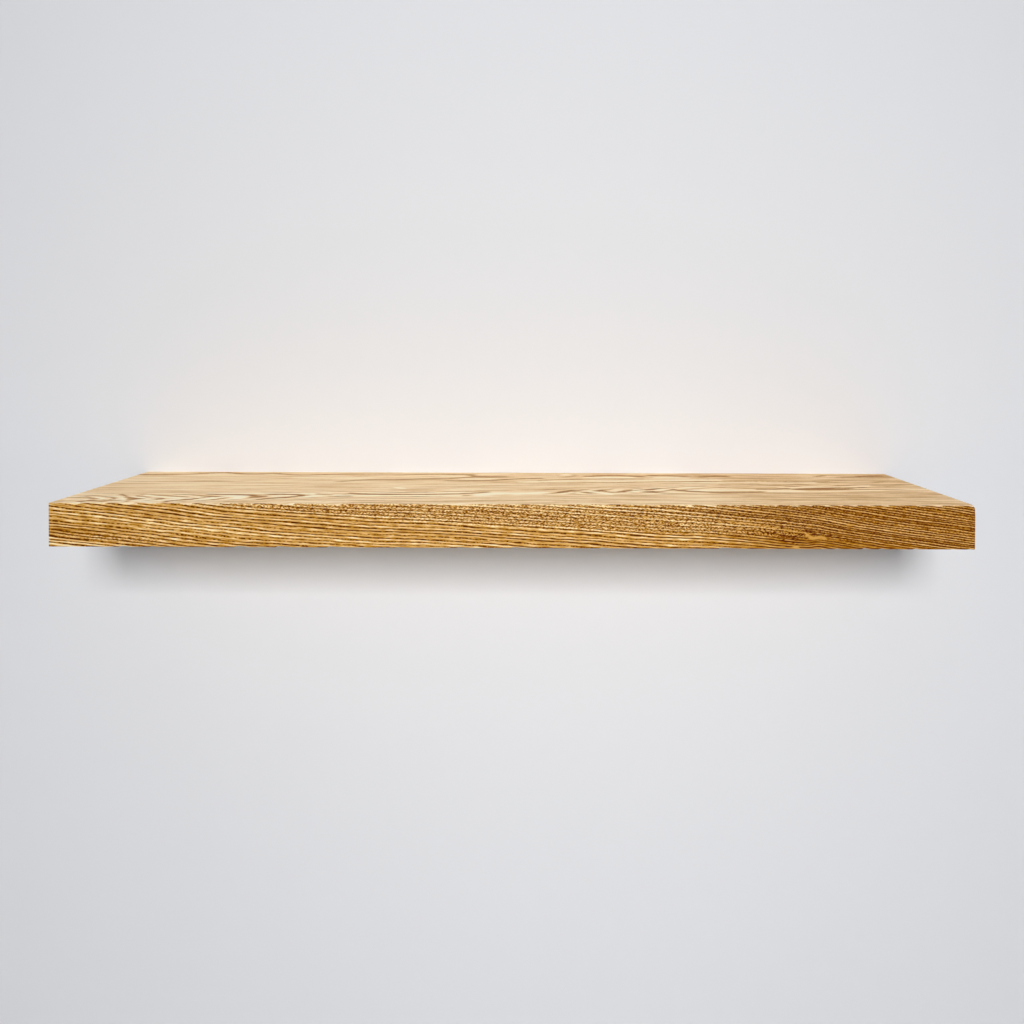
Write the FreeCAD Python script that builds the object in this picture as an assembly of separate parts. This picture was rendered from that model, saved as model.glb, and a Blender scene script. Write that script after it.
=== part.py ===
import FreeCAD, Part
import math
import os

# A floating wall shelf: a solid hardwood board that slides over the rods of a hidden steel bracket.
#
# The board is one plank. Its back has a shallow groove for the bracket's flat bar, and four blind
# bores for the rods. The rods are welded to the bar, which is screwed to the wall. Two brass
# inserts in the underside hold lock screws that press on the outer rods and keep the board from
# sliding off.
#
# Millimetres. +Z is up, X runs along the shelf, the wall is the plane Y = 0 and the front edge
# faces -Y. The origin is the middle of the bar's back face. Everything is built in place.

# ---- driving dimensions: the board ----
shelf_length = 800.0
shelf_depth = 235.0
shelf_height = 38.0
arris_radius = 0.5

# ---- driving dimensions: the wall bar, its groove and its screw holes ----
bar_end_margin = 30.0
bar_height = 25.0
bar_thickness = 6.0
bar_corner_radius = 3.0
bar_edge_chamfer = 0.5
groove_side_gap = 0.5
groove_floor_gap = 0.5
screw_hole_diameter = 5.5
countersink_diameter = 11.0
outer_hole_inset = 20.0

# ---- driving dimensions: the rods and their welds ----
rod_count = 4
rod_inset = 70.0
rod_diameter = 12.0
rod_length = 150.0
rod_tip_chamfer = 1.0
spigot_diameter = 8.0
spigot_clearance = 0.05
spigot_setback = 0.5
weld_leg = 2.5

# ---- driving dimensions: the bores ----
bore_clearance = 0.2
bore_tip_gap = 4.0
weld_clearance = 1.0

# ---- driving dimensions: the brass inserts ----
lock_setback = 40.0
insert_outer_diameter = 10.0
insert_core_diameter = 8.6
insert_ridge_pitch = 2.0
insert_flange_diameter = 13.0
insert_flange_thickness = 1.2
insert_clearance = 0.05
wood_above_insert = 2.8

# ---- driving dimensions: the lock screws ----
lock_diameter = 6.0
lock_root_diameter = 4.9
lock_pitch = 1.0
lock_thread_clearance = 0.05
lock_drill_clearance = 0.5
lock_tip_gap = 0.1
lock_tip_chamfer = 0.8
lock_recess = 2.9
hex_across_flats = 3.0
hex_depth = 3.5

# ---- places and sizes that follow from them ----
bar_length = shelf_length - 2 * bar_end_margin
bar_front_y = -bar_thickness
groove_floor_y = bar_front_y - groove_floor_gap

rod_radius = rod_diameter / 2
spigot_radius = spigot_diameter / 2
rod_tip_y = bar_front_y - rod_length
rod_pitch = (bar_length - 2 * rod_inset) / (rod_count - 1)
rod_xs = [rod_inset - bar_length / 2 + i * rod_pitch for i in range(rod_count)]
lock_xs = (rod_xs[0], rod_xs[-1])

bore_radius = rod_radius + bore_clearance
bore_end_y = rod_tip_y - bore_tip_gap
weld_recess_radius = rod_radius + weld_leg + weld_clearance
weld_recess_y = bar_front_y - weld_leg - weld_clearance

# One pair of screw holes near the bar's ends, and one pair halfway between the outer two rods.
outer_hole_x = bar_length / 2 - outer_hole_inset
inner_hole_x = rod_xs[-1] - rod_pitch / 2
screw_hole_xs = (-outer_hole_x, -inner_hole_x, inner_hole_x, outer_hole_x)

underside_z = -shelf_height / 2
flange_top_z = underside_z + insert_flange_thickness
insert_top_z = -bore_radius - wood_above_insert
lock_radius = lock_diameter / 2
lock_top_z = -rod_radius - lock_tip_gap
lock_bottom_z = underside_z + lock_recess

X_AXIS = FreeCAD.Vector(1, 0, 0)
Y_AXIS = FreeCAD.Vector(0, 1, 0)
Z_AXIS = FreeCAD.Vector(0, 0, 1)
ORIGIN = FreeCAD.Vector(0, 0, 0)

# How closely an edge's box must match a size for the edge to be picked by it.
edge_match = 1e-6


# ---- shared shapes ----
def block(length, height, front_y, back_y):
    """A block centred on the shelf's length and height, from front_y back to back_y."""
    corner = FreeCAD.Vector(-length / 2, front_y, -height / 2)
    return Part.makeBox(length, back_y - front_y, height, corner)


def along_rod(x, radius, front_y, back_y):
    """A cylinder on a line that runs out from the wall at x, from front_y back to back_y."""
    return Part.makeCylinder(radius, back_y - front_y, FreeCAD.Vector(x, front_y, 0), Y_AXIS)


def turned(profile, x):
    """A profile of (radius, z) points, turned about the upright axis of the lock screw at x."""
    points = [FreeCAD.Vector(radius, 0, z) for radius, z in profile]
    solid = Part.Face(Part.makePolygon(points + points[:1])).revolve(ORIGIN, Z_AXIS, 360)
    solid.translate(FreeCAD.Vector(x, -lock_setback, 0))
    return solid


def ridges(crest_radius, root_radius, pitch, low_z, high_z):
    """The (radius, z) points of ring-shaped thread ridges from low_z up to high_z."""
    count = max(1, round((high_z - low_z) / pitch))
    step = (high_z - low_z) / count
    points = [(root_radius, low_z)]
    for i in range(count):
        points.append((crest_radius, low_z + (i + 0.5) * step))
        points.append((root_radius, low_z + (i + 1) * step))
    return points


# ---- the board: one plank with its groove, bores and insert holes ----
def bar_groove():
    """The space for the wall bar, open at the back, with rounded corners."""
    length = bar_length + 2 * groove_side_gap
    height = bar_height + 2 * groove_side_gap
    groove = block(length, height, groove_floor_y, 0)
    depth = -groove_floor_y
    corners = [edge for edge in groove.Edges if abs(edge.BoundBox.YLength - depth) < edge_match]
    return groove.makeFillet(bar_corner_radius + groove_side_gap, corners)


def rod_bore(x):
    """The blind bore for one rod, with a wider mouth that clears the weld."""
    bore = along_rod(x, bore_radius, bore_end_y, groove_floor_y)
    return bore.fuse(along_rod(x, weld_recess_radius, weld_recess_y, groove_floor_y))


def insert_outline(grow):
    """The outside of a brass insert as (radius, z) points, each radius larger by grow."""
    outline = [(insert_flange_diameter / 2 + grow, underside_z)]
    outline.append((insert_flange_diameter / 2 + grow, flange_top_z))
    crest_radius = insert_outer_diameter / 2 + grow
    root_radius = insert_core_diameter / 2 + grow
    return outline + ridges(crest_radius, root_radius, insert_ridge_pitch, flange_top_z, insert_top_z)


def insert_hole(x):
    """The hole in the underside for one insert, with a drilled way on up to the rod."""
    drill_radius = lock_radius + lock_drill_clearance
    outline = [(0, underside_z)] + insert_outline(insert_clearance)
    outline += [(drill_radius, insert_top_z), (drill_radius, 0), (0, 0)]
    return turned(outline, x)


def shelf_board():
    """The plank with every arris eased except the four that lie against the wall."""
    board = block(shelf_length, shelf_height, -shelf_depth, 0)
    arrises = [edge for edge in board.Edges if edge.BoundBox.YMin < -shelf_depth / 2]
    board = board.makeFillet(arris_radius, arrises)
    cuts = [bar_groove()] + [rod_bore(x) for x in rod_xs] + [insert_hole(x) for x in lock_xs]
    return board.cut(cuts)


# ---- the wall bar: flat steel with holes for the rods and countersunk holes for wall screws ----
def wall_bar():
    bar = block(bar_length, bar_height, bar_front_y, 0)
    corners = [edge for edge in bar.Edges if abs(edge.BoundBox.YLength - bar_thickness) < edge_match]
    bar = bar.makeFillet(bar_corner_radius, corners)
    front_rim = [edge for edge in bar.Edges if edge.BoundBox.YMax < bar_front_y + edge_match]
    bar = bar.makeChamfer(bar_edge_chamfer, front_rim)
    hole_radius = screw_hole_diameter / 2
    sink_radius = countersink_diameter / 2
    sink_depth = sink_radius - hole_radius
    cuts = [along_rod(x, spigot_radius + spigot_clearance, bar_front_y, 0) for x in rod_xs]
    for x in screw_hole_xs:
        mouth = FreeCAD.Vector(x, bar_front_y, 0)
        cuts.append(along_rod(x, hole_radius, bar_front_y, 0))
        cuts.append(Part.makeCone(sink_radius, hole_radius, sink_depth, mouth, Y_AXIS))
    return bar.cut(cuts)


# ---- the rods: round steel with a turned spigot in the bar and a chamfered tip ----
def support_rod(x):
    rod = along_rod(x, rod_radius, rod_tip_y, bar_front_y)
    tip = [edge for edge in rod.Edges if edge.BoundBox.YMax < rod_tip_y + edge_match]
    rod = rod.makeChamfer(rod_tip_chamfer, tip)
    return rod.fuse(along_rod(x, spigot_radius, bar_front_y, -spigot_setback)).removeSplitter()


# ---- the welds: a hollow fillet of metal round the foot of each rod ----
def weld(x):
    corner = FreeCAD.Vector(rod_radius, bar_front_y, 0)
    foot = corner + X_AXIS * weld_leg
    top = corner - Y_AXIS * weld_leg
    hollow_depth = weld_leg * (1 - math.sqrt(0.5))
    middle = corner + (X_AXIS - Y_AXIS) * hollow_depth
    outline = [Part.makeLine(corner, foot), Part.Arc(foot, middle, top).toShape()]
    outline.append(Part.makeLine(top, corner))
    ring = Part.Face(Part.Wire(outline)).revolve(ORIGIN, Y_AXIS, 360)
    ring.translate(X_AXIS * x)
    return ring


def rod_welds():
    return Part.makeCompound([weld(x) for x in rod_xs])


# ---- the brass inserts: flanged, with wood thread outside and room for the lock screw inside ----
def threaded_insert(x):
    inside_radius = lock_radius + lock_thread_clearance
    outline = [(inside_radius, underside_z)] + insert_outline(0)
    outline.append((inside_radius, insert_top_z))
    return turned(outline, x)


# ---- the lock screws: headless, with a hexagon socket below and a chamfered tip at the rod ----
def hexagon_socket(x):
    corner_radius = hex_across_flats / math.sqrt(3)
    points = []
    for i in range(6):
        angle = math.radians(60 * i)
        across = x + corner_radius * math.cos(angle)
        points.append(FreeCAD.Vector(across, corner_radius * math.sin(angle) - lock_setback, lock_bottom_z))
    return Part.Face(Part.makePolygon(points + points[:1])).extrude(Z_AXIS * hex_depth)


def lock_screw(x):
    shoulder_z = lock_top_z - lock_tip_chamfer
    root_radius = lock_root_diameter / 2
    outline = [(0, lock_bottom_z)]
    outline += ridges(lock_radius, root_radius, lock_pitch, lock_bottom_z, shoulder_z)
    outline += [(lock_radius - lock_tip_chamfer, lock_top_z), (0, lock_top_z)]
    return turned(outline, x).cut(hexagon_socket(x))


# ---- write one STEP file for each piece ----
pieces = {
    "shelf_board": shelf_board(),
    "wall_bar": wall_bar(),
    "rod_welds": rod_welds(),
}
for number, rod_x in enumerate(rod_xs, start=1):
    pieces[f"support_rod_{number}"] = support_rod(rod_x)
for side, lock_x in zip(("left", "right"), lock_xs):
    pieces[f"{side}_threaded_insert"] = threaded_insert(lock_x)
    pieces[f"{side}_lock_screw"] = lock_screw(lock_x)

os.makedirs("parts", exist_ok=True)
for name, shape in pieces.items():
    shape.exportStep(f"parts/{name}.step")
    print(name, "solids", len(shape.Solids), "valid", shape.isValid(), "volume", round(shape.Volume, 1))
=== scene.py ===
import math

import bmesh
import bpy
import numpy as np
from mathutils import Euler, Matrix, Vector


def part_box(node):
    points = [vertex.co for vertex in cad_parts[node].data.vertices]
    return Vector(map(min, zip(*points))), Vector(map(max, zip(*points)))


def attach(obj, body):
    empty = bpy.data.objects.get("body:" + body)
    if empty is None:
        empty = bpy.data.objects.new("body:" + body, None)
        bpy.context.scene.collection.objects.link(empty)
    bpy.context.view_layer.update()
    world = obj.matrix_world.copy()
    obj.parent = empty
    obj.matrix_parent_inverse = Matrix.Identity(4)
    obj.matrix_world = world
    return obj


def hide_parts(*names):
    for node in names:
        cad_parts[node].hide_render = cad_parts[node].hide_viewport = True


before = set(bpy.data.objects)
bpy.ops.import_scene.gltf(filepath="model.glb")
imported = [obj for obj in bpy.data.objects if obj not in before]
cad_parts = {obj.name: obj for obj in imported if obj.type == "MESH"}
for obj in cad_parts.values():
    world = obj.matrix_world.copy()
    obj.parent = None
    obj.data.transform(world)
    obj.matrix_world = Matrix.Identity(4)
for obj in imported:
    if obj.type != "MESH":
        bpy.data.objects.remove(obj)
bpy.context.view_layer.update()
scene = bpy.context.scene

# ---- camera ----
# A level product shot: the lens is shifted upwards so that the shelf's ends stay upright, and the
# camera stands a little above the board's top, just right of its middle.
camera_place = (0.01693, -1.14135, 0.15136)
camera_pitch = math.radians(-1.0006)
camera_roll = math.radians(0.1897)
camera_lens = 37.025

camera = bpy.data.cameras.new("camera")
camera.sensor_width = 36.0
camera.lens = camera_lens
camera.shift_x = -0.01965
camera.shift_y = -0.13938
camera.clip_start = 0.01
camera_object = bpy.data.objects.new("camera", camera)
camera_object.location = camera_place
camera_turn = Euler((math.pi / 2 + camera_pitch, 0, 0)).to_matrix()
camera_turn = camera_turn @ Euler((0, 0, camera_roll)).to_matrix()
camera_object.rotation_euler = camera_turn.to_euler()
scene.collection.objects.link(camera_object)
scene.camera = camera_object

scene.view_settings.view_transform = "Standard"


# ---- studio: a pale wall that the shelf hangs on, and a pale floor well below it ----
# The wall can't be seen from behind, and its part behind the board lets light through, so that the
# back of the shelf can be looked at too.
def colour(red, green, blue):
    """The linear colour, with alpha 1, of an sRGB colour given as 0 to 255."""
    parts = np.array([red, green, blue]) / 255
    linear = np.where(parts <= 0.04045, parts / 12.92, ((parts + 0.055) / 1.055) ** 2.4)
    return (*linear.tolist(), 1.0)


def mesh_object(name, points, faces):
    """A mesh object with its place in its mesh."""
    mesh = bpy.data.meshes.new(name)
    mesh.from_pydata(points, [], faces)
    thing = bpy.data.objects.new(name, mesh)
    scene.collection.objects.link(thing)
    return thing


board_low, board_high = (np.array(corner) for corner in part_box("shelf_board"))
wall_reach = 3.0
floor_drop = 1.3
floor_front = -4.0
floor_back = 3.0
wall_setback = 0.0001
wall_pale = colour(231, 232, 235)
floor_pale = colour(247, 247, 247)
floor_glow = 0.28

# The wall is three faces wide and three high, and the middle one is just behind the board.
middle_face = 4
column_xs = [-wall_reach, board_low[0], board_high[0], wall_reach]
row_zs = [-floor_drop, board_low[2], board_high[2], wall_reach]
wall_points = [(x, wall_setback, z) for z in row_zs for x in column_xs]
wall_faces = []
for row in range(3):
    for column in range(3):
        corner = row * 4 + column
        wall_faces.append((corner, corner + 1, corner + 5, corner + 4))
wall = mesh_object("wall", wall_points, wall_faces)

floor_points = [(-wall_reach, floor_front, -floor_drop), (wall_reach, floor_front, -floor_drop)]
floor_points += [(wall_reach, floor_back, -floor_drop), (-wall_reach, floor_back, -floor_drop)]
floor = mesh_object("floor", floor_points, [(0, 1, 2, 3)])


def seen(tree):
    """1 on a ray that shows the thing to the camera, by itself or in gloss or glass, and otherwise 0."""
    ray = tree.nodes.new("ShaderNodeLightPath")
    total = ray.outputs["Is Camera Ray"]
    for kind in ("Is Glossy Ray", "Is Transmission Ray"):
        larger = tree.nodes.new("ShaderNodeMath")
        larger.operation = "MAXIMUM"
        tree.links.new(total, larger.inputs[0])
        tree.links.new(ray.outputs[kind], larger.inputs[1])
        total = larger.outputs[0]
    return total


def studio_material(name, pale, glow=0.0, one_sided=False, lets_light_through=False):
    """A matt paint, paler by glow where it is seen. One-sided paint is clear from behind. Where it
    lets light through, it is clear for all but the camera."""
    material = bpy.data.materials.new(name)
    material.use_nodes = True
    nodes, links = material.node_tree.nodes, material.node_tree.links
    shader = nodes["Principled BSDF"]
    shader.inputs["Base Color"].default_value = pale
    shader.inputs["Roughness"].default_value = 0.9
    shader.inputs["Specular IOR Level"].default_value = 0.2
    if glow:
        amount = nodes.new("ShaderNodeMath")
        amount.operation = "MULTIPLY"
        amount.inputs[1].default_value = glow
        links.new(seen(material.node_tree), amount.inputs[0])
        links.new(amount.outputs[0], shader.inputs["Emission Strength"])
        shader.inputs["Emission Color"].default_value = pale
    if one_sided:
        side = nodes.new("ShaderNodeNewGeometry")
        ray = nodes.new("ShaderNodeLightPath")
        light = nodes.new("ShaderNodeMath")
        light.operation = "SUBTRACT"
        light.inputs[0].default_value = 1.0 if lets_light_through else 0.0
        either = nodes.new("ShaderNodeMath")
        either.operation = "MAXIMUM"
        clear = nodes.new("ShaderNodeBsdfTransparent")
        mix = nodes.new("ShaderNodeMixShader")
        links.new(ray.outputs["Is Camera Ray"], light.inputs[1])
        links.new(side.outputs["Backfacing"], either.inputs[0])
        links.new(light.outputs[0], either.inputs[1])
        links.new(either.outputs[0], mix.inputs[0])
        links.new(shader.outputs[0], mix.inputs[1])
        links.new(clear.outputs[0], mix.inputs[2])
        links.new(mix.outputs[0], nodes["Material Output"].inputs["Surface"])
    return material


wall_paint = studio_material("wall paint", wall_pale, one_sided=True)
hidden_paint = studio_material("wall paint behind the board", wall_pale, one_sided=True,
                               lets_light_through=True)
wall.data.materials.append(wall_paint)
wall.data.materials.append(hidden_paint)
wall.data.polygons[middle_face].material_index = 1
floor.data.materials.append(studio_material("floor paint", floor_pale, floor_glow))

# ---- lights: a soft key before the shelf, a soft overhead, and one behind for the back ----
# The key stands low, so the board's shadow on the wall stays short and close. The world is dim as
# a light, and pale where it is seen.
world_fill = 0.115
world_seen = 0.80
world_tint = (0.94, 0.98, 1.06, 1.0)


def soft_light(name, place, aim, width, height, watts, spread=180):
    """An area lamp at place, turned so that it shines at aim, into a cone of spread degrees. The
    camera doesn't see the lamp."""
    lamp = bpy.data.lights.new(name, "AREA")
    lamp.shape = "RECTANGLE"
    lamp.size = width
    lamp.size_y = height
    lamp.energy = watts
    lamp.spread = math.radians(spread)
    thing = bpy.data.objects.new(name, lamp)
    thing.location = place
    thing.rotation_euler = (Vector(aim) - Vector(place)).to_track_quat("-Z", "Y").to_euler()
    thing.visible_camera = False
    scene.collection.objects.link(thing)


soft_light("key light", (0.05, -2.40, 0.60), (0.1, 0.0, -0.3), 0.45, 0.50, 23.8, spread=130)
soft_light("top light", (0.0, -0.18, 1.70), (0.0, -0.14, 0.0), 1.3, 0.2, 7.7)
soft_light("back light", (0.60, 1.90, 1.00), (0.0, 0.0, 0.0), 1.0, 1.0, 31.0)

world = bpy.data.worlds.new("studio")
scene.world = world
world.use_nodes = True
world_nodes, world_links = world.node_tree.nodes, world.node_tree.links
world_nodes.clear()
fill_light = world_nodes.new("ShaderNodeBackground")
fill_light.inputs["Color"].default_value = world_tint
fill_light.inputs["Strength"].default_value = world_fill
backdrop = world_nodes.new("ShaderNodeBackground")
backdrop.inputs["Strength"].default_value = world_seen
world_mix = world_nodes.new("ShaderNodeMixShader")
world_out = world_nodes.new("ShaderNodeOutputWorld")
world_links.new(seen(world.node_tree), world_mix.inputs[0])
world_links.new(fill_light.outputs[0], world_mix.inputs[1])
world_links.new(backdrop.outputs[0], world_mix.inputs[2])
world_links.new(world_mix.outputs[0], world_out.inputs[0])

# ---- the board ----
# One plank of ring-porous hardwood, sawn square and given a clear lacquer. Its arrises are only just
# eased. Both long front ones have broken out along the grain, in chips that stop at a growth ring,
# and the upper right front corner has worn round.
to_mm = 1000.0
length_mm, depth_mm, height_mm = (board_high - board_low) * to_mm
half_length_mm = length_mm / 2
half_height_mm = height_mm / 2

arris_mm = 0.6
skin_inset_mm = 0.01
worn_corner_mm = 1.2
worn_corner_reach_mm = 6.0

# A chip is at most these shares of a ring deep, and fades away within these distances of its arris.
chip_seed = 5
under_chip_rings = 0.42
above_chip_rings = 0.58
under_chip_reach_mm = 7.0
above_chip_reach_mm = 5.0
chip_height_mm = 4.0

# Along the front edge the rings are sawn edge-on and drop towards the right.
ring_mm = 2.75
ring_mm_along = ((0, 2.85), (300, 2.75), (540, 2.75), (600, 2.4), (660, 2.05), (800, 2.05))
drop_rings = ((0, 0), (80, 3.2), (160, 6.5), (240, 8.7), (320, 10.2), (400, 11.8), (480, 13.9),
              (560, 16.2), (640, 20.6), (720, 26.7), (800, 31.9))


def smooth_through(places, along):
    """A smooth curve through (place, value) pairs: cubic between pairs, with slopes from neighbours."""
    x, v = np.array(places, dtype=float).T
    slope = np.gradient(v, x)
    i = np.clip(np.searchsorted(x, along) - 1, 0, len(x) - 2)
    step = x[i + 1] - x[i]
    t = np.clip((along - x[i]) / step, 0, 1)
    bend = (t - 1) * slope[i] * step * t * (t - 1) + t * slope[i + 1] * step * t * (t - 1)
    return v[i] * (1 + 2 * t) * (1 - t) ** 2 + v[i + 1] * t * t * (3 - 2 * t) + bend


def ease(value):
    """0 below 0, 1 above 1, and a smooth step between."""
    t = np.clip(value, 0, 1)
    return t * t * (3 - 2 * t)


def hill(value, middle, reach):
    """A smooth bump of height 1 about a middle."""
    return np.exp(-((value - middle) / reach) ** 2)


def edge_rings(from_left, z):
    """Rings counted down the front face: height over the local spacing, plus the drop in rings."""
    spacing = np.interp(from_left, *np.array(ring_mm_along).T)
    return (z - half_height_mm) / spacing + smooth_through(drop_rings, from_left)


def lattice_lines(low, high, count, crowding=((0, 0), (1, 1))):
    """Places from low to high, with a few close lines beside both ends. Crowding holds pairs of the
    share of the lines and the share of the way that they fill; between pairs the lines are even."""
    close = np.array([0.25, 0.6, 1.1, 1.8, 2.8])
    end_strip = 4.0
    share = np.interp(np.linspace(0, 1, count), *np.array(crowding).T)
    middle = low + end_strip + (high - low - 2 * end_strip) * share
    return np.concatenate([[low], low + close, middle, high - close[::-1], [high]])


def box_skin(xs, ys, zs):
    """The skin of a box lattice: each lattice point on the outside once, and quads between neighbours."""
    nx, ny, nz = len(xs), len(ys), len(zs)
    outside = np.zeros((nx, ny, nz), dtype=bool)
    outside[[0, -1]] = True
    outside[:, [0, -1]] = True
    outside[:, :, [0, -1]] = True
    number = np.full((nx, ny, nz), -1)
    number[outside] = np.arange(outside.sum())
    i, j, k = np.nonzero(outside)
    points = np.stack([xs[i], ys[j], zs[k]], axis=1)
    sheets = [number[:, :, -1], number[:, ::-1, 0], number[:, 0, :], number[::-1, -1, :]]
    sheets += [number[-1], number[0, ::-1]]
    quads = []
    for sheet in sheets:
        corners = [sheet[:-1, :-1], sheet[1:, :-1], sheet[1:, 1:], sheet[:-1, 1:]]
        quads.append(np.stack(corners, axis=-1).reshape(-1, 4))
    return points, np.concatenate(quads)


def eased(points):
    """A box's skin with its arrises rounded: each point is pushed onto a ball of the local radius
    whose centre is the nearest place that far inside the box. The radius grows towards the upper
    right front corner. The edges at the wall stay sharp."""
    x, y, z = points.T
    from_corner = np.sqrt((half_length_mm - x) ** 2 + (y + depth_mm) ** 2 + (half_height_mm - z) ** 2)
    radius = arris_mm + worn_corner_mm * np.exp(-(from_corner / worn_corner_reach_mm) ** 2)
    low = np.array([-half_length_mm, -depth_mm, -half_height_mm]) + skin_inset_mm
    high = np.array([half_length_mm, 0.0, half_height_mm]) - skin_inset_mm
    inner_low = low + radius[:, None]
    inner_high = np.stack([high[0] - radius, np.full_like(radius, high[1]), high[2] - radius], axis=1)
    surface = np.clip(points, low, high)
    centre = np.clip(surface, inner_low, inner_high)
    away = surface - centre
    reach = np.linalg.norm(away, axis=1, keepdims=True)
    at_back = surface[:, 1:2] >= high[1]
    on_skin = np.where(reach > 0, centre + away / np.maximum(reach, 1e-9) * radius[:, None], surface)
    return np.where(at_back & (reach == 0), surface, on_skin)


def chip_depths(from_left):
    """How far the lower and the upper front arris have broken away, in millimetres. A chip is deepest
    where a ring leaves the face and runs out along the grain, and each ring has its own depth."""
    # Added so that no ring has a number below 0.
    rings_before = 20
    ring_depth = np.random.default_rng(chip_seed).random(64) ** 0.8
    under = edge_rings(from_left, np.full_like(from_left, -half_height_mm)) + rings_before
    above = edge_rings(from_left, np.full_like(from_left, half_height_mm)) + rings_before
    under_share = under_chip_rings * ring_depth[np.floor(under).astype(int)]
    above_share = above_chip_rings * ring_depth[np.floor(above).astype(int)]
    under_chip = ring_mm * np.clip(under_share - under % 1, 0, 1)
    above_chip = ring_mm * np.clip(above % 1 - 1 + above_share, 0, 1)
    return under_chip, above_chip


def chipped(points):
    """The skin with its long front arrises chipped. The chips fade away from the arris."""
    x, y, z = points.T
    under_chip, above_chip = chip_depths(x + half_length_mm)
    inward = y + depth_mm
    near_under = ease(1 - inward / under_chip_reach_mm)
    near_above = ease(1 - inward / above_chip_reach_mm)
    lift = under_chip * near_under * ease(1 - (z + half_height_mm) / chip_height_mm)
    sink = above_chip * near_above * ease(1 - (half_height_mm - z) / chip_height_mm)
    return np.stack([x, y, z + lift - sink], axis=1)


# From front to wall, the lines stand closest where the arches of the figure are, and furthest apart
# in the plain strip behind them.
skin_xs = lattice_lines(-half_length_mm, half_length_mm, 270)
skin_ys = lattice_lines(-depth_mm, 0.0, 112, ((0, 0), (0.58, 0.47), (0.625, 0.60), (1, 1)))
skin_zs = lattice_lines(-half_height_mm, half_height_mm, 24)
skin_points, skin_quads = box_skin(skin_xs, skin_ys, skin_zs)
plank_points = chipped(eased(skin_points)) / to_mm
plank = mesh_object("shelf_plank", plank_points.tolist(), skin_quads.tolist())

# The groove, bores and insert holes come from the CAD board, of which this is the finished skin.
same_place = 1e-7
smooth_up_to = math.radians(35)
cut_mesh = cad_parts["shelf_board"].data.copy()
working = bmesh.new()
working.from_mesh(cut_mesh)
bmesh.ops.remove_doubles(working, verts=working.verts, dist=same_place)
working.to_mesh(cut_mesh)
working.free()
cutter = bpy.data.objects.new("cutter", cut_mesh)
scene.collection.objects.link(cutter)
carve = plank.modifiers.new("holes", "BOOLEAN")
carve.operation = "INTERSECT"
carve.solver = "EXACT"
carve.object = cutter
bpy.context.view_layer.update()
carved = bpy.data.meshes.new_from_object(plank.evaluated_get(bpy.context.evaluated_depsgraph_get()))
plank.modifiers.clear()
plank.data = carved
bpy.data.objects.remove(cutter)
carved.name = "shelf_plank"
carved.polygons.foreach_set("use_smooth", np.ones(len(carved.polygons), dtype=bool))
carved.set_sharp_from_angle(angle=smooth_up_to)

# The figure. On the top the rings run out in a band of arches that wanders from the front at the
# left to mid-depth. A small knot near the lower right pulls the rings of the front edge down.
pith_depth_mm = 70.0
arris_blend_mm = 1.2
crest_mm = ((0, 220), (45, 213), (115, 203), (175, 191), (205, 184), (252, 178), (330, 172),
            (375, 163), (435, 158), (500, 148), (560, 141), (600, 139), (680, 128), (760, 112), (800, 106))
rings_along_crest = ((0, 0), (232, 7.5), (262, 8.1), (350, 8.4), (430, 8.1), (575, 3.3), (680, 2.0),
                     (800, 1.15))
crest_reach_mm = 26
crest_end_mm = 640
crest_fade_mm = 80
knot_from_left_mm = 655
knot_z_mm = -13
knot_rings = 1.1

coordinates = np.empty(len(carved.vertices) * 3)
carved.vertices.foreach_get("co", coordinates)
x, y, z = coordinates.reshape(-1, 3).T * to_mm
from_left = x + half_length_mm
from_wall = -y
from_front = y + depth_mm

# The knot's pull fades slowly to its left and quickly to its right.
knot_fade_mm = np.where(from_left < knot_from_left_mm, 34, 6)
knot_pull = hill(from_left, knot_from_left_mm, knot_fade_mm) * hill(z, knot_z_mm, 8)
front_rings = edge_rings(from_left, z) + knot_rings * knot_pull
inside = np.clip(from_front / arris_blend_mm, 0, 1)

# Where the front is sawn across the rings, the pores scatter as specks rather than lines. That is
# above a falling line, and in two low patches near the ends. Near the right end specks are weaker.
speck_line_mm = ((0, 26), (100, 19), (200, 12), (300, 5), (400, 0), (500, -5), (600, -7), (680, -12),
                 (800, -18))
speck_blend_mm = 5
speckle = ease((z - smooth_through(speck_line_mm, from_left)) / speck_blend_mm + 0.5)
speckle = np.maximum(speckle, 0.85 * hill(from_left, 55, 45) * hill(z, -8 - from_left * 0.06, 3.0))
speckle = np.maximum(speckle, 0.8 * hill(from_left, 750, 30) * hill(z, -12, 4))
speckle = speckle * (1 - 0.42 * ease((from_left - 640) / 60))

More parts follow.
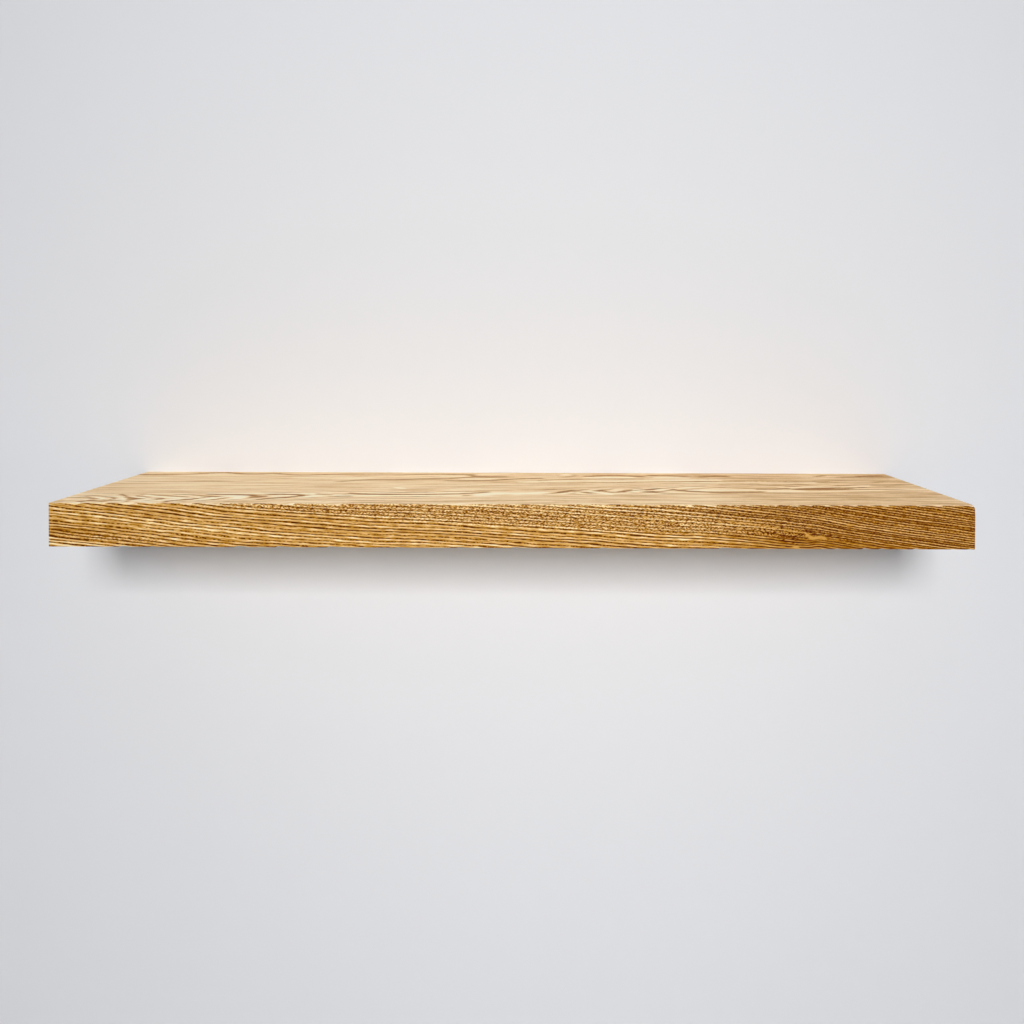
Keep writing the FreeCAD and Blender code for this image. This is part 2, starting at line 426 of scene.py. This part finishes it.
# Bands and finer strokes of early wood (above 0) and late wood (below 0) that the top cuts almost
# flat: (half width, strength, points as from the left end and from the wall).
streak_paths = (
    (5.9, 0.64, ((0, 28), (25, 28), (50, 22), (70, 14), (85, 8), (97, 11), (108, 19), (125, 19),
                 (140, 14), (150, 19), (165, 25), (180, 27), (200, 22), (225, 17), (270, 17),
                 (345, 17), (352, 25), (358, 35))),
    (6.2, 0.64, ((224, 80), (235, 73), (245, 68), (262, 64), (282, 63), (300, 57), (318, 55),
                 (335, 51), (350, 43), (357, 36))),
    (7.6, 0.80, ((358, 37), (387, 37))),
    (4.6, 0.36, ((12, 84), (60, 84), (125, 82))),
    (5.1, 0.76, ((332, 71), (362, 70), (380, 65), (398, 57), (425, 49))),
    (4.6, 0.60, ((425, 66), (440, 62), (460, 58), (480, 54), (530, 52))),
    (4.1, 0.48, ((380, 83), (440, 84), (480, 84), (510, 82), (545, 75), (575, 75), (600, 70),
                 (680, 70), (720, 68))),
    (4.1, 0.36, ((447, 32), (444, 18), (450, 9), (460, 10), (463, 18))),
    (4.9, 0.48, ((463, 20), (460, 30), (450, 40))),
    (7.6, 0.76, ((478, 30), (490, 25), (508, 24), (532, 30))),
    (7.6, 0.76, ((545, 24), (560, 23), (577, 26))),
    (5.9, 0.60, ((578, 34), (598, 35))),
    (8.9, 0.80, ((598, 26), (619, 26))),
    (4.9, 0.35, ((620, 38), (660, 41), (710, 39))),
    (5.4, 0.60, ((719, 26), (728, 18))),
    (5.4, 0.48, ((742, 31), (762, 29))),
    (6.8, 0.76, ((767, 22), (788, 19))),
    (4.9, 0.44, ((766, 74), (777, 68))),
    (3.2, 0.40, ((605, 93), (650, 95), (692, 93))),
    (2.3, 0.55, ((7, 192), (15, 195), (23, 202))),
    (2.4, 0.70, ((14, 188), (25, 191), (35, 197), (42, 202), (47, 209))),
    (2.4, 0.75, ((48, 210), (44, 217), (39, 220), (32, 222))),
    (2.3, 0.60, ((10, 223), (15, 219), (22, 217))),
    (2.4, 0.80, ((41, 180), (47, 188), (55, 198), (63, 204), (71, 208))),
    (2.3, 0.65, ((71, 209), (65, 213), (64, 221), (64, 229))),
    (2.4, 0.70, ((59, 190), (69, 197), (78, 204), (90, 207))),
    (2.4, 0.70, ((90, 209), (85, 215), (78, 221))),
    (2.3, 0.65, ((59, 178), (70, 181), (81, 184), (92, 189), (107, 194))),
    (2.6, 0.85, ((127, 196), (119, 206), (112, 214), (102, 219), (97, 229))),
    (3.8, 0.95, ((122, 178), (142, 182), (160, 184), (168, 190), (176, 191))),
    (3.8, 0.90, ((178, 178), (197, 178), (207, 185), (200, 193), (188, 200), (176, 209))),
    (4.4, 0.85, ((221, 175), (232, 179))),
    (3.4, 0.70, ((232, 188), (253, 188))),
    (3.8, 0.90, ((249, 167), (262, 172), (280, 174), (300, 175), (325, 173), (350, 169),
                 (365, 163), (375, 158))),
    (2.8, 0.45, ((300, 155), (320, 155))),
    (4.2, 0.70, ((429, 169), (440, 161), (448, 151), (456, 142))),
    (3.8, 0.60, ((456, 155), (462, 152), (471, 164))),
    (4.6, 0.75, ((482, 142), (488, 152), (495, 156), (504, 150), (513, 143), (522, 138), (536, 133))),
    (4.6, 0.70, ((521, 154), (534, 151), (545, 143), (553, 134))),
    (4.4, 0.90, ((557, 142), (561, 143))),
    (4.2, 0.95, ((563, 144), (580, 150), (596, 153), (616, 153), (634, 150))),
    (4.2, 0.95, ((635, 131), (650, 129), (664, 124))),
    (3.2, 0.75, ((672, 129), (699, 129), (715, 126), (730, 119), (742, 113))),
    (3.4, 0.60, ((751, 107), (775, 107), (800, 105))),
    (3.0, 0.60, ((666, 109), (680, 108))),
    (6.0, -0.35, ((170, 45), (200, 48), (225, 48), (260, 45))),
    (5.0, -0.75, ((325, 33), (338, 34), (347, 35))),
    (4.4, -0.75, ((348, 56), (362, 56), (378, 54))),
    (5.0, -0.85, ((450, 20), (456, 20))),
    (5.0, -0.95, ((478, 41), (498, 39), (520, 41))),
    (4.6, -0.80, ((548, 40), (562, 39), (580, 41))),
    (4.4, -0.80, ((405, 79), (440, 73), (470, 70), (500, 69), (540, 65), (580, 62), (610, 61))),
    (4.0, -0.80, ((572, 82), (620, 80), (660, 82), (702, 78))),
    (2.6, -0.75, ((28, 201), (37, 208), (34, 214))),
    (2.6, -0.70, ((40, 192), (52, 204), (57, 216))),
    (2.8, -0.60, ((54, 191), (62, 198), (68, 202))),
    (3.0, -0.95, ((67, 186), (79, 193), (95, 200), (113, 205))),
    (3.0, -0.85, ((80, 226), (87, 219), (96, 214), (104, 209))),
    (3.4, -1.00, ((121, 214), (126, 209), (132, 203), (141, 195), (153, 191))),
    (3.0, -0.50, ((14, 232), (31, 232), (45, 233))),
    (3.4, -0.90, ((180, 190), (190, 187), (202, 185))),
    (4.2, -0.95, ((208, 193), (221, 185), (232, 187), (250, 180))),
    (3.6, -0.80, ((120, 171), (170, 171), (230, 168))),
    (4.0, -0.90, ((255, 183), (300, 184), (350, 182))),
    (3.6, -0.70, ((255, 163), (300, 165), (350, 160))),
    (9.0, -0.95, ((370, 176), (385, 168), (405, 167), (428, 162))),
    (5.0, -0.85, ((444, 166), (452, 160))),
    (5.0, -0.90, ((471, 151), (480, 158), (489, 167))),
    (4.4, -0.75, ((500, 159), (516, 151), (540, 137))),
    (6.0, -1.00, ((568, 141), (590, 139), (620, 138), (650, 139), (672, 143))),
    (4.4, -0.80, ((660, 116), (700, 113), (735, 108), (752, 100))),
    (4.0, -0.75, ((640, 148), (690, 146), (720, 141), (760, 133), (797, 127))),
    (3.4, -0.90, ((286, 127), (293, 132))),
)


def path_points(points, steps=14):
    """Points closely spaced along a smooth curve through the given ones (Catmull-Rom)."""
    p = np.array(points, dtype=float)
    p = np.concatenate([2 * p[:1] - p[1:2], p, 2 * p[-1:] - p[-2:-1]])
    t = np.linspace(0, 1, steps, endpoint=False)[:, None, None]
    a, b, c, d = p[:-3], p[1:-2], p[2:-1], p[3:]
    bow = 2 * a - 5 * b + 4 * c - d
    twist = 3 * b - a - 3 * c + d
    curve = 0.5 * (2 * b + (c - a) * t + bow * t ** 2 + twist * t ** 3)
    return np.concatenate([curve.transpose(1, 0, 2).reshape(-1, 2), p[-2:-1]])


# The rings run along with the longer bands of the rear half, and straighten past their ends.
rear_reach_mm = 95
long_band_mm = 50
bend_reach_mm = 32.0
bend_fade_mm = 60.0
bend = np.zeros(len(x))
for _, strength, points in streak_paths:
    band_x, band_wall = np.array(sorted(points), dtype=float).T
    at_rear = strength > 0 and band_wall.max() < rear_reach_mm
    runs_along = np.ptp(band_x) > long_band_mm and np.diff(band_x).min() > 0
    if at_rear and runs_along:
        along = np.clip(from_left, band_x[0], band_x[-1])
        lane = smooth_through(np.stack([band_x, band_wall], axis=1), along)
        beyond = np.maximum(band_x[0] - from_left, from_left - band_x[-1])
        nearness = hill(from_wall, band_wall.mean(), bend_reach_mm)
        bend += (lane - band_wall.mean()) * nearness * ease(1 - beyond / bend_fade_mm)
across = from_wall - bend - smooth_through(crest_mm, from_left)
arch = np.hypot(across, pith_depth_mm + z - half_height_mm) - pith_depth_mm
solid_rings = smooth_through(rings_along_crest, from_left) + arch / ring_mm
crest = hill(across, 0, crest_reach_mm) * (z > 0) * ease((crest_end_mm - from_left) / crest_fade_mm)

# A band is drawn out along the grain, so that it narrows where it runs with it.
along_grain = 1.25
top_skin_mm = 1.5
band_margin_mm = 14
band_spread = 0.8
on_top = np.nonzero(z > half_height_mm - top_skin_mm)[0]
top_places = np.stack([from_left[on_top], from_wall[on_top]], axis=1)
early_band = np.zeros(len(x))
late_band = np.zeros(len(x))
for width, strength, points in streak_paths:
    curve = path_points(points)
    low, high = curve.min(0) - band_margin_mm, curve.max(0) + band_margin_mm
    near = ((top_places > low) & (top_places < high)).all(axis=1)
    apart = (top_places[near][:, None] - curve[None]) / (along_grain, 1.0)
    gap = np.linalg.norm(apart, axis=2).min(axis=1)
    rows = on_top[near]
    band = early_band if strength > 0 else late_band
    band[rows] = np.maximum(band[rows], abs(strength) * np.exp(-(gap / width / band_spread) ** 1.5))

# Patches that are darker (above 0) or paler (below 0) than the rest: (amount, from left, reach,
# height, reach) on the front edge, and marks drawn the same way as the bands of the top.
front_patches = ((0.16, 600, 60, 14, 8), (0.14, 25, 45, -5, 4), (0.10, 500, 30, 12, 6),
                 (-0.08, 120, 60, 0, 8))
front_skin_mm = 0.3
front_marks = (
    (0.8, -0.80, ((585, 4.4), (606, 2.5), (623, 0), (640, -3), (653, -5.2), (658, -8))),
    (1.5, -1.00, ((655, -7), (660, -9.6), (666, -8.4), (670, -9.8))),
    (0.8, -0.70, ((672, -10.3), (684, -11.8), (697, -15.3), (715, -17.5))),
    (0.8, 0.90, ((653, -3.0), (658, -4.6), (663, -6.6))),
    (0.7, 0.80, ((668, -5.8), (676, -7.6), (688, -9.8))),
    (0.7, 0.80, ((634, -7), (641, -9.2), (648, -12))),
    (0.7, 0.80, ((629, -9.5), (637, -12.2))),
    (0.7, 0.70, ((640, -13), (648, -15.5))),
    (1.6, -0.85, ((644, -17.4), (647, -17.6))),
    (1.0, -0.90, ((690, 2.4), (694, 2.0))),
)
tone = np.zeros(len(x))
for amount, place, reach, height, spread in front_patches:
    tone += amount * hill(from_left, place, reach) * hill(z, height, spread)
on_front = np.nonzero(from_front < front_skin_mm)[0]
front_places = np.stack([from_left[on_front], z[on_front]], axis=1)
for width, strength, points in front_marks:
    curve = path_points(points)
    apart = (front_places[:, None] - curve[None]) / (along_grain, 1.0)
    gap = np.linalg.norm(apart, axis=2).min(axis=1)
    band = early_band if strength > 0 else late_band
    band[on_front] = np.maximum(band[on_front], abs(strength) * np.exp(-(gap / width) ** 2))
streak = early_band - late_band * (1 - early_band)

# The front is paler in a thin line below its upper arris, and more so where the arris has chipped: a
# painted highlight, standing for the light that the eased arris and the broken edges of the chips catch.
below_top = half_height_mm - z
painted_arris_highlight = ease((chip_depths(from_left)[1] - 0.15) / 0.4) * ease(1 - below_top / 2.2)
tone = (tone - 0.60 * painted_arris_highlight - 0.25 * ease(1 - below_top / 1.6)) * (1 - inside)

# The board darkens towards its right end, more on the front than elsewhere. Away from the front it
# is also a little darker about its middle, and the sawn ends are darker again.
end_skin_mm = 0.1
tone += 0.29 * ease((from_left - 540) / 130) * (1 - 0.35 * inside)
tone += 0.06 * hill(from_left, 430, 180) * inside
tone += 0.3 * (half_length_mm - np.abs(x) < end_skin_mm)

attributes = {
    "front_growth": front_rings,
    "solid_growth": solid_rings,
    "speckle": speckle,
    "streak": streak,
    "tone": tone,
    "inside": inside,
    "crest": crest,
}
for name, values in attributes.items():
    carved.attributes.new(name, "FLOAT", "POINT").data.foreach_set("value", values.astype(np.float32))


class Recipe:
    """A material being built: each method adds one node and gives back what comes out of it."""

    def __init__(self, name):
        self.material = bpy.data.materials.new(name)
        self.material.use_nodes = True
        self.nodes = self.material.node_tree.nodes
        self.links = self.material.node_tree.links
        self.shader = self.nodes["Principled BSDF"]

    def feed(self, socket, value):
        """A link into the socket, or a constant set on it."""
        if isinstance(value, bpy.types.NodeSocket):
            self.links.new(value, socket)
        else:
            socket.default_value = value

    def set(self, socket, value):
        """A link or a constant for the shader's own socket of that name."""
        self.feed(self.shader.inputs[socket], value)

    def places(self):
        """Object coordinates in millimetres, as three separate numbers."""
        source = self.nodes.new("ShaderNodeTexCoord").outputs["Object"]
        split = self.nodes.new("ShaderNodeSeparateXYZ")
        self.links.new(source, split.inputs[0])
        return [self.sum("MULTIPLY", split.outputs[axis], to_mm) for axis in range(3)]

    def attribute(self, name):
        """One of the numbers stored on the mesh."""
        node = self.nodes.new("ShaderNodeAttribute")
        node.attribute_name = name
        return node.outputs["Fac"]

    def sum(self, operation, first, second=0.0, third=0.0):
        """One step of arithmetic. MULTIPLY_ADD is first times second plus third."""
        node = self.nodes.new("ShaderNodeMath")
        node.operation = operation
        for socket, value in zip(node.inputs, (first, second, third)):
            self.feed(socket, value)
        return node.outputs[0]

    def step(self, value, low, high, bottom=0.0, top=1.0):
        """A smooth change from bottom to top as value goes from low to high."""
        node = self.nodes.new("ShaderNodeMapRange")
        node.interpolation_type = "SMOOTHSTEP"
        sockets = ("Value", "From Min", "From Max", "To Min", "To Max")
        for socket, entry in zip(sockets, (value, low, high, bottom, top)):
            self.feed(node.inputs[socket], entry)
        return node.outputs[0]

    def noise(self, places, lengths, detail=2.0, roughness=0.5):
        """Cloudy noise about 0.5, stretched to the given length along each of three numbers."""
        join = self.nodes.new("ShaderNodeCombineXYZ")
        for socket, place, size in zip(join.inputs, places, lengths):
            self.feed(socket, self.sum("MULTIPLY", place, 1 / size))
        node = self.nodes.new("ShaderNodeTexNoise")
        node.inputs["Scale"].default_value = 1.0
        node.inputs["Detail"].default_value = detail
        node.inputs["Roughness"].default_value = roughness
        self.links.new(join.outputs[0], node.inputs["Vector"])
        return node.outputs["Fac"]

    def by_year(self, year, offset, low, high):
        """A random number between low and high that is the same all through one year's ring."""
        node = self.nodes.new("ShaderNodeTexWhiteNoise")
        node.noise_dimensions = "1D"
        self.links.new(self.sum("ADD", year, offset), node.inputs["W"])
        return self.step(node.outputs["Value"], 0.0, 1.0, low, high)

    def blend(self, amount, first, second):
        """first where amount is 0, second where it is 1."""
        node = self.nodes.new("ShaderNodeMix")
        self.feed(node.inputs[0], amount)
        self.feed(node.inputs[2], first)
        self.feed(node.inputs[3], second)
        return node.outputs[0]

    def mix(self, amount, first, second):
        """The first colour where amount is 0, the second where it is 1."""
        node = self.nodes.new("ShaderNodeMix")
        node.data_type = "RGBA"
        self.feed(node.inputs[0], amount)
        self.feed(node.inputs[6], first)
        self.feed(node.inputs[7], second)
        return node.outputs[2]

    def ramp(self, value, stops):
        """A colour from a scale of (place, sRGB colour) stops."""
        node = self.nodes.new("ShaderNodeValToRGB")
        for _ in stops[2:]:
            node.color_ramp.elements.new(0.5)
        for element, (place, shade) in zip(node.color_ramp.elements, stops):
            element.position = place
            element.color = colour(*shade)
        self.links.new(value, node.inputs[0])
        return node.outputs[0]

    def bump(self, height, distance):
        """Fine relief: a height of 1 stands out by the distance in metres."""
        node = self.nodes.new("ShaderNodeBump")
        node.inputs["Distance"].default_value = distance
        self.feed(node.inputs["Height"], height)
        self.links.new(node.outputs[0], self.shader.inputs["Normal"])


def lacquered_hardwood():
    """How dark the wood is, from 0 (dense late wood) to 1 (open pores), runs through a scale of
    browns. Pores are dashes along the grain: their noise runs on the length, depth and ring count."""
    wood = Recipe("lacquered hardwood")
    x, y, z = wood.places()
    speckle = wood.attribute("speckle")
    streak = wood.attribute("streak")
    tone = wood.attribute("tone")
    crest = wood.attribute("crest")
    inside = wood.step(wood.attribute("inside"), 0.45, 0.55)
    growth = wood.blend(inside, wood.attribute("front_growth"), wood.attribute("solid_growth"))

    # The rings waver, and each year has its own vigour and density. Early wood opens a ring, most
    # of all in its core, and late wood closes it.
    sway = wood.noise((x, y, z), (90.0, 26.0, 11.0), detail=2.0)
    fine_sway = wood.noise((x, y, z), (9.0, 5.0, 2.2), detail=1.0)
    uneven = wood.noise((growth, 0.0, 0.0), (2.2, 1.0, 1.0), detail=1.0)
    wavy = wood.sum("MULTIPLY_ADD", sway, 1.4, growth)
    wavy = wood.sum("MULTIPLY_ADD", fine_sway, 0.18, wavy)
    wavy = wood.sum("MULTIPLY_ADD", uneven, 0.9, wavy)
    ring = wood.sum("FRACT", wavy)
    year = wood.sum("FLOOR", wavy)
    vigour = wood.by_year(year, 0.0, 0.4, 1.0)
    density = wood.by_year(year, 41.7, 0.1, 1.0)
    early = wood.sum("MULTIPLY", wood.step(ring, 0.0, 0.06), wood.step(ring, 0.34, 0.48, 1.0, 0.0))
    early = wood.sum("MULTIPLY", early, vigour)
    core = wood.sum("MULTIPLY", wood.step(ring, 0.0, 0.08), wood.step(ring, 0.28, 0.40, 1.0, 0.0))
    core = wood.sum("MULTIPLY", core, vigour)
    late = wood.sum("MULTIPLY", wood.step(ring, 0.52, 0.66), wood.step(ring, 0.92, 1.0, 1.0, 0.0))
    late = wood.sum("MULTIPLY", late, density)

    # Marks of several lengths, all drawn out along the grain.
    dash = wood.step(wood.noise((x, y, wavy), (1.7, 0.8, 0.6), detail=1.0), 0.44, 0.56)
    speck = wood.step(wood.noise((x, y, wavy), (1.9, 0.8, 0.19), detail=1.0), 0.43, 0.57, -1.0, 1.0)
    long_pore = wood.step(wood.noise((x, y, wavy), (7.0, 0.55, 0.55), detail=2.0), 0.50, 0.62)
    fibre = wood.noise((x, y, wavy), (26.0, 0.45, 0.12), detail=3.0)
    grain = wood.step(wood.noise((x, y, wavy), (11.0, 1.0, 0.30), detail=2.0), 0.30, 0.70, -1.0, 1.0)
    stretch = wood.step(wood.noise((x, y, wavy), (55.0, 12.0, 0.9), detail=1.0), 0.48, 0.58)
    band = wood.step(wood.noise((x, y, 0.0), (70.0, 7.0, 1.0), detail=2.0), 0.3, 0.7, -1.0, 1.0)

    # The front edge: dashed lines of pores, or specks crossed by pale threads, then the marks.
    edge = wood.sum("MULTIPLY_ADD", early, 0.42, 0.37)
    edge = wood.sum("MULTIPLY_ADD", wood.sum("MULTIPLY", core, dash), 1.20, edge)
    edge = wood.sum("MULTIPLY_ADD", late, -0.36, edge)
    edge = wood.sum("MULTIPLY_ADD", grain, 0.24, edge)
    thread = wood.sum("MULTIPLY", wood.step(ring, 0.57, 0.67), wood.step(ring, 0.78, 0.88, 1.0, 0.0))
    specked = wood.sum("MULTIPLY_ADD", speck, 0.33, 0.49)
    specked = wood.sum("MULTIPLY_ADD", early, 0.34, specked)
    specked = wood.sum("MULTIPLY_ADD", grain, 0.08, specked)
    specked = wood.sum("MULTIPLY_ADD", wood.sum("MULTIPLY", thread, density), -0.75, specked)
    specked = wood.sum("MULTIPLY_ADD", wood.sum("MULTIPLY", late, stretch), -0.25, specked)
    edge = wood.sum("MAXIMUM", wood.blend(speckle, edge, specked), -0.08)
    edge = wood.blend(wood.step(streak, 0.15, 0.75), edge, 0.95)
    edge = wood.blend(wood.step(streak, -0.10, -0.70), edge, 0.12)

    # Every other side: plain rings, broad clouds, and feathered bands of early or late wood.
    face = wood.sum("MULTIPLY_ADD", crest, -0.05, 0.355)
    face = wood.sum("MULTIPLY_ADD", early, wood.sum("MULTIPLY_ADD", crest, 0.18, 0.26), face)
    face = wood.sum("MULTIPLY_ADD", wood.sum("MULTIPLY", early, long_pore), 0.25, face)
    face = wood.sum("MULTIPLY_ADD", late, wood.sum("MULTIPLY_ADD", crest, -0.35, -0.18), face)
    face = wood.sum("MULTIPLY_ADD", band, 0.23, face)
    feather = wood.sum("SUBTRACT", wood.noise((x, y, z), (20.0, 1.0, 2.0), detail=2.0), 0.5)
    pores = wood.step(wood.noise((x, y, z), (6.0, 0.6, 1.0), detail=1.0), 0.42, 0.58)
    opened = wood.step(wood.sum("MULTIPLY_ADD", feather, 1.4, streak), 0.12, 0.72)
    opened_tone = wood.sum("MULTIPLY_ADD", pores, 0.42, 0.80)
    opened_tone = wood.sum("MULTIPLY_ADD", early, 0.28, opened_tone)
    opened_tone = wood.sum("MULTIPLY_ADD", late, -0.22, opened_tone)
    face = wood.blend(opened, face, opened_tone)
    closed = wood.step(wood.sum("MULTIPLY_ADD", feather, 1.1, streak), -0.12, -0.55)
    face = wood.blend(closed, face, wood.sum("MULTIPLY_ADD", pores, 0.12, -0.10))

    dark = wood.blend(inside, edge, face)
    # Tone holds the board's own patches, darker right end and darker sawn ends, and also the painted
    # highlight along the front's upper arris.
    dark = wood.sum("ADD", dark, tone)
    dark = wood.sum("MULTIPLY_ADD", wood.sum("SUBTRACT", fibre, 0.5), 0.20, dark)

    edge_browns = ((0.00, (252, 231, 178)), (0.15, (232, 190, 125)), (0.30, (214, 166, 93)),
                   (0.45, (194, 142, 60)), (0.60, (170, 115, 25)), (0.75, (144, 88, 3)),
                   (0.88, (118, 59, 0)), (1.00, (84, 29, 0)))
    # The faces run through a paler, greyer scale than the front edge. That paleness is painted sheen: a
    # painted reflection of the pale wall, seen at a grazing angle, on wood of the front's own colour.
    face_browns_with_painted_sheen = ((0.00, (255, 244, 211)), (0.22, (254, 226, 183)), (0.46, (242, 209, 161)),
                   (0.66, (224, 184, 131)), (0.83, (194, 145, 86)), (1.00, (158, 102, 38)))
    wood.set("Base Color", wood.mix(inside, wood.ramp(dark, edge_browns), wood.ramp(dark, face_browns_with_painted_sheen)))
    wood.set("Roughness", wood.blend(inside, 0.28, 0.60))
    wood.shader.inputs["Specular IOR Level"].default_value = 0.06
    wood.bump(wood.sum("MULTIPLY", dark, -1.0), 0.00012)
    return wood.material


carved.materials.clear()
carved.materials.append(lacquered_hardwood())
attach(plank, "shelf")
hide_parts("shelf_board")


# ---- hidden steel and brass ----
# The bracket is welded mild steel, coated black with its rods left bright. The inserts are turned
# brass, and the lock screws are black oxidised.
def metal(name, tint, roughness, spread, metallic, grain_mm, bump_distance):
    """A metal or coat whose roughness and height change with noise of the given grain."""
    recipe = Recipe(name)
    x, y, z = recipe.places()
    cloud = recipe.noise((x, y, z), grain_mm, detail=4.0, roughness=0.6)
    darker = tuple(part * 0.8 for part in tint[:3]) + (1.0,)
    recipe.set("Base Color", recipe.mix(recipe.step(cloud, 0.3, 0.7), tint, darker))
    recipe.set("Roughness", recipe.step(cloud, 0.25, 0.75, roughness - spread, roughness + spread))
    recipe.shader.inputs["Metallic"].default_value = metallic
    recipe.bump(cloud, bump_distance)
    return recipe.material


black_coat = metal("black powder coat", colour(38, 38, 40), 0.48, 0.08, 0.0, (0.6, 0.6, 0.6), 0.00008)
bright_rod = metal("zinc plated steel", colour(196, 198, 200), 0.30, 0.08, 1.0, (0.4, 30.0, 0.4), 0.00002)
turned_brass = metal("turned brass", colour(206, 170, 98), 0.28, 0.06, 1.0, (6.0, 6.0, 0.15), 0.00002)
black_oxide = metal("black oxide", colour(52, 52, 56), 0.38, 0.08, 1.0, (0.5, 0.5, 0.5), 0.00002)

finishes = {"wall_bar": black_coat, "rod_welds": black_coat}
finishes.update({name: bright_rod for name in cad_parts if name.startswith("support_rod")})
finishes.update({name: turned_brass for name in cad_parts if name.endswith("threaded_insert")})
finishes.update({name: black_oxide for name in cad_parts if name.endswith("lock_screw")})
for node_name, finish in finishes.items():
    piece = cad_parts[node_name]
    for material_slot in piece.material_slots:
        material_slot.material = finish
